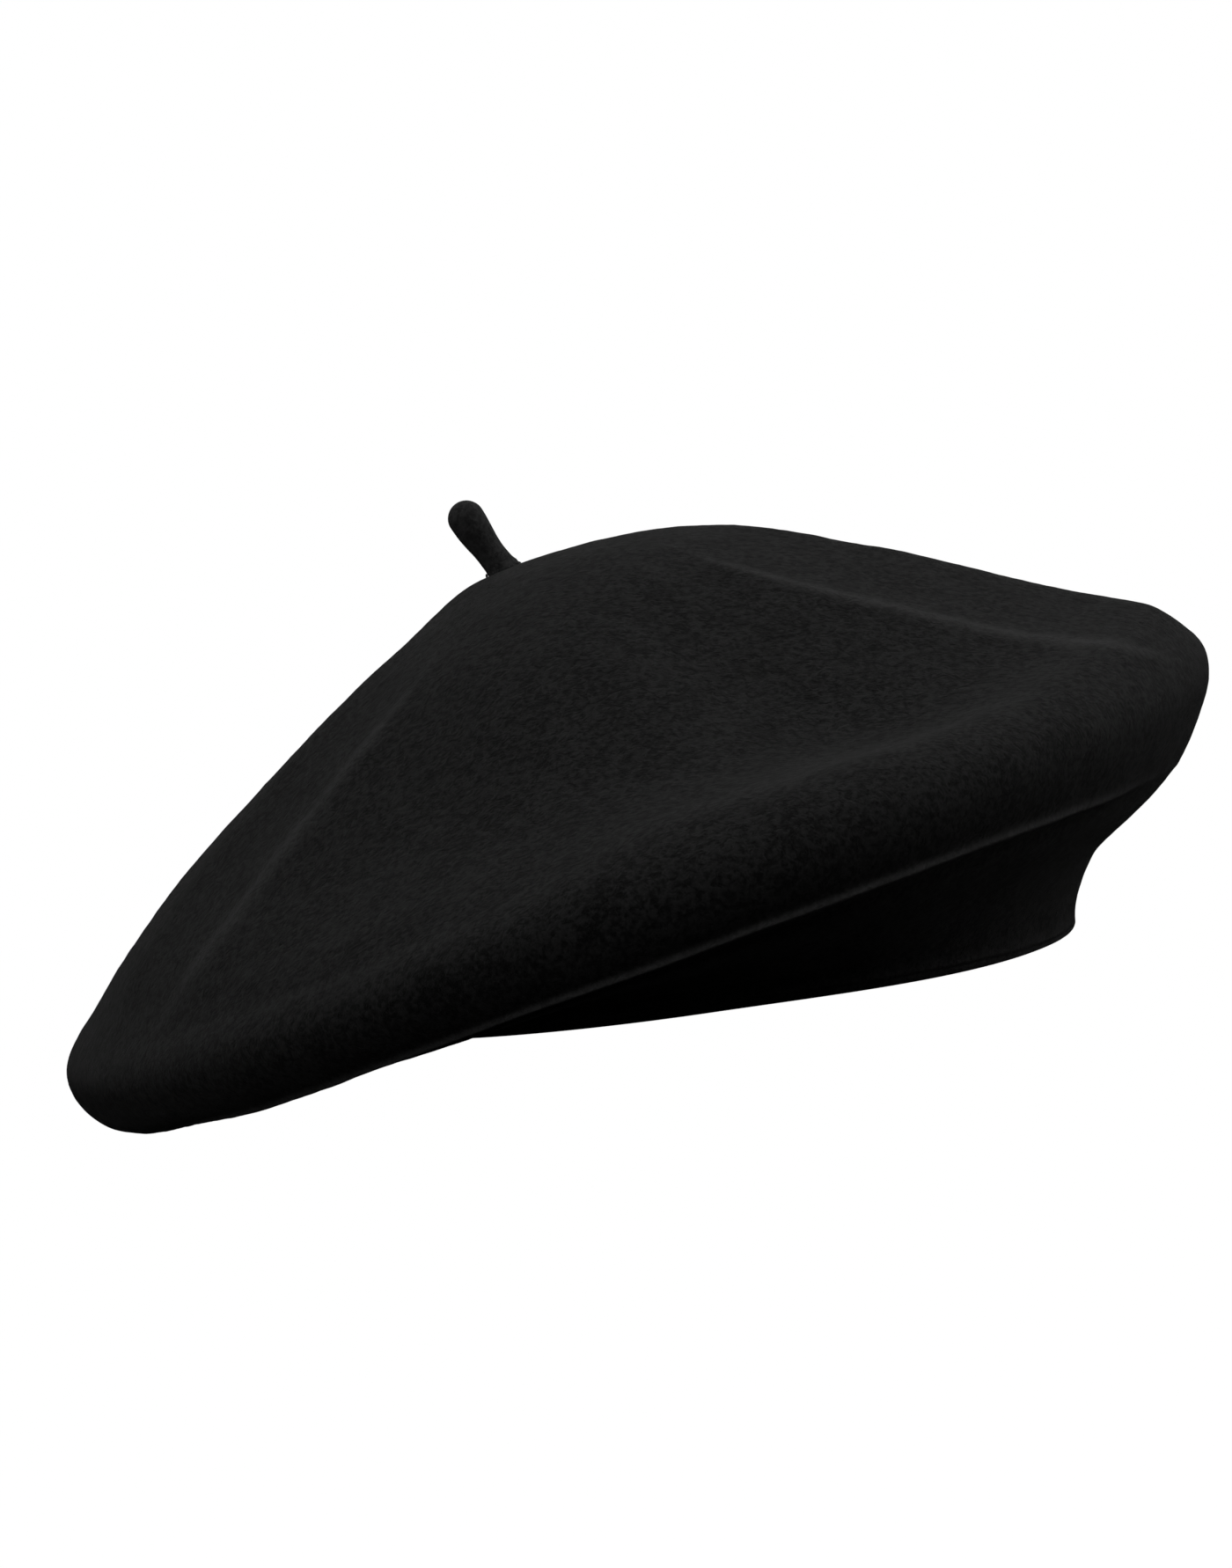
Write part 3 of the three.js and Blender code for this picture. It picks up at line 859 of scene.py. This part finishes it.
def plate(width, height, thickness, corner, place, rings=14):
    """A thin plate with rounded edges. place(u, v, w) puts a point of it: across, up and into the hat."""
    outline = rounded_outline(width, height, corner)
    edge = thickness / 2
    turn = np.linspace(-math.pi / 2, math.pi / 2, 7)
    small = 1 - 2 * edge / np.array([width, height])
    rows = [(outline * small * r, -edge) for r in np.linspace(0, 1, rings)]
    rows += [(outline * (1 - 2 * edge * (1 - math.cos(a)) / np.array([width, height])), edge * math.sin(a))
             for a in turn[1:-1]]
    rows += [(outline * small * r, edge) for r in np.linspace(1, 0, rings)]
    placed = [place(uv[:, 0], uv[:, 1], np.full(len(uv), w)) for uv, w in rows]
    placed[0] = placed[0][:1]
    placed[-1] = placed[-1][:1]
    return skin(placed)


def second_material(obj, material, first_face):
    """The faces from first_face on take a second material."""
    obj.data.materials.append(material)
    index = np.zeros(len(obj.data.polygons), np.int32)
    index[first_face:] = 1
    obj.data.polygons.foreach_set("material_index", index)


def sweatband():
    """A strip of thin leather with rounded edges, its ends butted at the back."""
    half_slit = BAND_SLIT / 2 / MEAN_RADIUS
    angles = np.linspace(BACK + half_slit, BACK + TAU - half_slit, 520)
    edge = BAND / 2
    turn = np.linspace(0, math.pi, 7)
    top = [(BAND_TOP - edge + edge * math.sin(a), edge - edge * math.cos(a)) for a in turn]
    bottom = [(BAND_BOTTOM + edge - edge * math.sin(a), edge + edge * math.cos(a)) for a in turn]
    up = [(z, 0.0) for z in np.linspace(BAND_BOTTOM + edge, BAND_TOP - edge, 12)[1:-1]]
    down = [(z, BAND) for z in np.linspace(BAND_TOP - edge, BAND_BOTTOM + edge, 12)[1:-1]]
    section = np.array(top + down + bottom + up)
    rows = [on_band(a, section[:, 0], BAND_DEPTH + section[:, 1]) for a in angles]
    first = rows[0].mean(0, keepdims=True)
    last = rows[-1].mean(0, keepdims=True)
    obj = new_object("leather_band", *skin([first, *rows, last]), leather)
    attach(obj, "hat")
    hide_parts("sweatband")
    return obj


def sweatband_stitches():
    """Running stitches that hold the band and the lining to the hem."""
    count = 150
    rng = np.random.RandomState(3)
    parts = []
    for k in range(count):
        middle = BACK + (k + 0.5) * TAU / count + rng.uniform(-0.002, 0.002)
        half = 0.31 * TAU / count
        height = 3.6 + rng.uniform(-0.12, 0.12)
        start = on_band(middle - half, height, BAND_DEPTH + BAND)
        end = on_band(middle + half, height, BAND_DEPTH + BAND)
        inward = np.array([-math.cos(middle), -math.sin(middle), 0])
        parts.append(capsule(start, end, 0.27, inward * 0.3))
    obj = new_object("band_stitches", *joined(parts), thread)
    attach(obj, "hat")
    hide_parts("sweatband_stitching")


def patch(name, middle, width, bottom, top, thickness, corner, material, off, stitches):
    """A small plate sewn on the band's face, with its stitches. Each stitch is (u, v) to (u, v)."""

    def place(u, v, w):
        depth = BAND_FACE + thickness / 2 + w + off(u, v)
        return on_band(middle - u / MEAN_RADIUS, (bottom + top) / 2 + v, depth)

    body = plate(width, top - bottom, thickness, corner, place)
    inward = np.array([-math.cos(middle), -math.sin(middle), 0])
    parts = [body]
    for u0, v0, u1, v1 in stitches:
        start, end = place(np.array([u0, u1]), np.array([v0, v1]), thickness * 0.35)
        parts.append(capsule(start, end, 0.17, inward * 0.22))
    obj = new_object(name, *joined(parts), material)
    second_material(obj, thread, len(body[1]))
    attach(obj, "hat")
    return obj


def back_join():
    """The leather tab over the butted ends, stitched down both sides."""

    def off(u, v):
        return 0.12 * np.exp(-((u / 1.2) ** 2))

    rows = [(u, v - 0.75, u, v + 0.75) for u in (-4.6, 4.6) for v in np.arange(-7.2, 7.6, 2.4)]
    obj = patch("back_tab", BACK, 12, 5.5, 23, 0.6, 1.2, leather, off, rows)
    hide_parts("sweatband_back_join")


def size_label():
    """A blank woven tag, sewn on by its two ends."""

    def off(u, v):
        return 0.25 * (1 - (u / 10) ** 2) + 0.08 * np.sin(v * 0.9)

    rows = [(u, v - 0.55, u, v + 0.55) for u in (-8.9, 8.9) for v in np.arange(-4.8, 5, 1.6)]
    obj = patch("size_tag", math.radians(113), 20, 8, 20, 0.4, 0.4, tape, off, rows)
    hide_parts("size_label")
    return obj


CARE_ANGLE = math.radians(64)
CARE_DEPTH = BAND_FACE + 1.4
CARE_TOP = BAND_TOP - 0.5
CARE_HINGE = np.array([
    (OPENING_HALF_WIDTH - CARE_DEPTH) * math.cos(CARE_ANGLE),
    (OPENING_HALF_LENGTH - CARE_DEPTH) * math.sin(CARE_ANGLE),
    CARE_TOP,
])
CARE_TURN = math.atan2(
    OPENING_HALF_WIDTH * math.sin(CARE_ANGLE),
    OPENING_HALF_LENGTH * math.cos(CARE_ANGLE),
)
CARE_OUT = np.array([math.cos(CARE_TURN), math.sin(CARE_TURN), 0])
CARE_ALONG = np.array([-math.sin(CARE_TURN), math.cos(CARE_TURN), 0])
CARE_UP = np.array([0, 0, 1.0])


def care_label():
    """A blank care label of soft tape that hangs from the band's top edge."""

    def place(u, v, w):
        down = 8.5 - v
        curl = 0.9 * (down / 17) ** 2 * np.cos(u * 0.11) + 0.18 * np.sin(u * 0.55 + down * 0.2) * down / 17
        point = CARE_HINGE - (w + curl)[:, None] * CARE_OUT
        return point + u[:, None] * CARE_ALONG - down[:, None] * CARE_UP

    obj = new_object("care_tag", *plate(24, 17, 0.4, 0.5, place, 20), tape)
    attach(obj, "care_label")
    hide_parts("care_label")
    return obj


def care_label_stitches():
    """Stitches that carry the care label over the band's top edge."""
    parts = []
    for u in np.arange(-10.8, 11, 1.8):
        start = CARE_HINGE + u * CARE_ALONG - 0.5 * CARE_UP - 0.3 * CARE_OUT
        end = CARE_HINGE + (u + 0.7) * CARE_ALONG + 0.3 * CARE_UP + 1.9 * CARE_OUT
        parts.append(capsule(start, end, 0.17, (CARE_UP - 0.3 * CARE_OUT) * 0.75))
    obj = new_object("care_tag_stitches", *joined(parts), thread)
    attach(obj, "hat")
    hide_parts("care_label_stitching")


leather_band = sweatband()
sweatband_stitches()
back_join()
size_tag = size_label()
care_tag = care_label()
care_label_stitches()

# ---------------------------------------------------------------- floor, light and camera


def stage_floor():
    """A wide pale floor, far below the hat, as under one on a tall stand."""
    n = Nodes("pale_floor")
    colour = n.mix(n.noise(400, 2), (0.86, 0.86, 0.86), (0.88, 0.88, 0.88))
    material = n.finish(colour, 0.9, n.bump(n.noise(30, 2), 0.02, 0.1), Specular_IOR_Level=0.0,
                        Emission_Color=(1, 1, 1, 1), Emission_Strength=1.0)
    half = 30000
    depth = -2000.0
    corners = [(-half, -half, depth), (half, -half, depth), (half, half, depth), (-half, half, depth)]
    floor = new_object("floor", np.array(corners, float), [(0, 1, 2, 3)], material)
    floor.visible_diffuse = False
    floor.visible_glossy = False
    floor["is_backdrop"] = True


def area_light(name, place, aim, size, watts):
    data = bpy.data.lights.new(name, "AREA")
    data.shape = "DISK"
    data.size = size
    data.energy = watts
    light = bpy.data.objects.new(name, data)
    light.location = place
    light.visible_camera = False
    light.rotation_mode = "QUATERNION"
    light.rotation_quaternion = (Vector(aim) - Vector(place)).to_track_quat("-Z", "Y")
    bpy.context.scene.collection.objects.link(light)
    return light


def inner_pieces():
    """What shows through the head opening. The light below reaches only these."""
    inner = bpy.data.collections.new("inner_pieces")
    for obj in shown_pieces():
        if obj.name not in ("beret_felt", "stem_stub", "root_whipping"):
            inner.objects.link(obj)
    return inner


def set_world():
    world = bpy.data.worlds.new("studio")
    bpy.context.scene.world = world
    world.use_nodes = True
    world.node_tree.nodes["Background"].inputs["Color"].default_value = (1, 1, 1, 1)
    world.node_tree.nodes["Background"].inputs["Strength"].default_value = 1.0
    world.cycles_visibility.diffuse = False
    world.cycles_visibility.glossy = False


def set_camera():
    """A little above the hem, and rolled so that the hat leans down to the left."""
    elevation = math.radians(3.0)
    roll = math.radians(8.34)
    distance = 1.13
    back = Vector((0, -math.cos(elevation), math.sin(elevation)))
    right = Vector((1, 0, 0))
    up = back.cross(right)
    x_axis = right * math.cos(roll) - up * math.sin(roll)
    y_axis = right * math.sin(roll) + up * math.cos(roll)
    middle = Vector((0, 0, 0.045)) - x_axis * 0.0117 - y_axis * 0.0038
    data = bpy.data.cameras.new("camera")
    data.lens = 119.6
    data.sensor_fit = "AUTO"
    data.sensor_width = 36
    camera = bpy.data.objects.new("camera", data)
    place = middle + back * distance
    camera.matrix_world = Matrix(
        (
            (x_axis.x, y_axis.x, back.x, place.x),
            (x_axis.y, y_axis.y, back.y, place.y),
            (x_axis.z, y_axis.z, back.z, place.z),
            (0, 0, 0, 1),
        )
    )
    bpy.context.scene.collection.objects.link(camera)
    bpy.context.scene.camera = camera


stage_floor()
set_world()
area_light("top", (0, 0.1, 1.6), (0, 0, 0), 1.8, 6.3)
area_light("front_top", (0, -1.2, 1.5), (0, 0, 0.03), 1.0, 5.5)
area_light("right_top", (1.3, 0.2, 1.1), (0, 0, 0.03), 1.0, 5.5)
area_light("front_left", (-1.3, -1.3, 0.85), (0, 0, 0.03), 1.0, 3.0)
area_light("left_low", (-1.6, -0.8, 0.1), (0, 0, 0.03), 1.0, 1.1)
area_light("right_low", (1.45, -0.1, 0.45), (0, 0, 0.03), 1.0, 1.2)
area_light("right_back", (1.6, 0.5, 0.15), (0, 0, 0.03), 0.8, 1.8)
area_light("back_top", (0, 1.5, 1.0), (0, 0, 0.03), 1.0, 1)
inside_light = area_light("below", (0.1, -0.3, -1.3), (0, 0, 0.05), 1.2, 40)
inside_light.light_linking.receiver_collection = inner_pieces()
set_camera()
bpy.context.scene.view_settings.view_transform = "Standard"
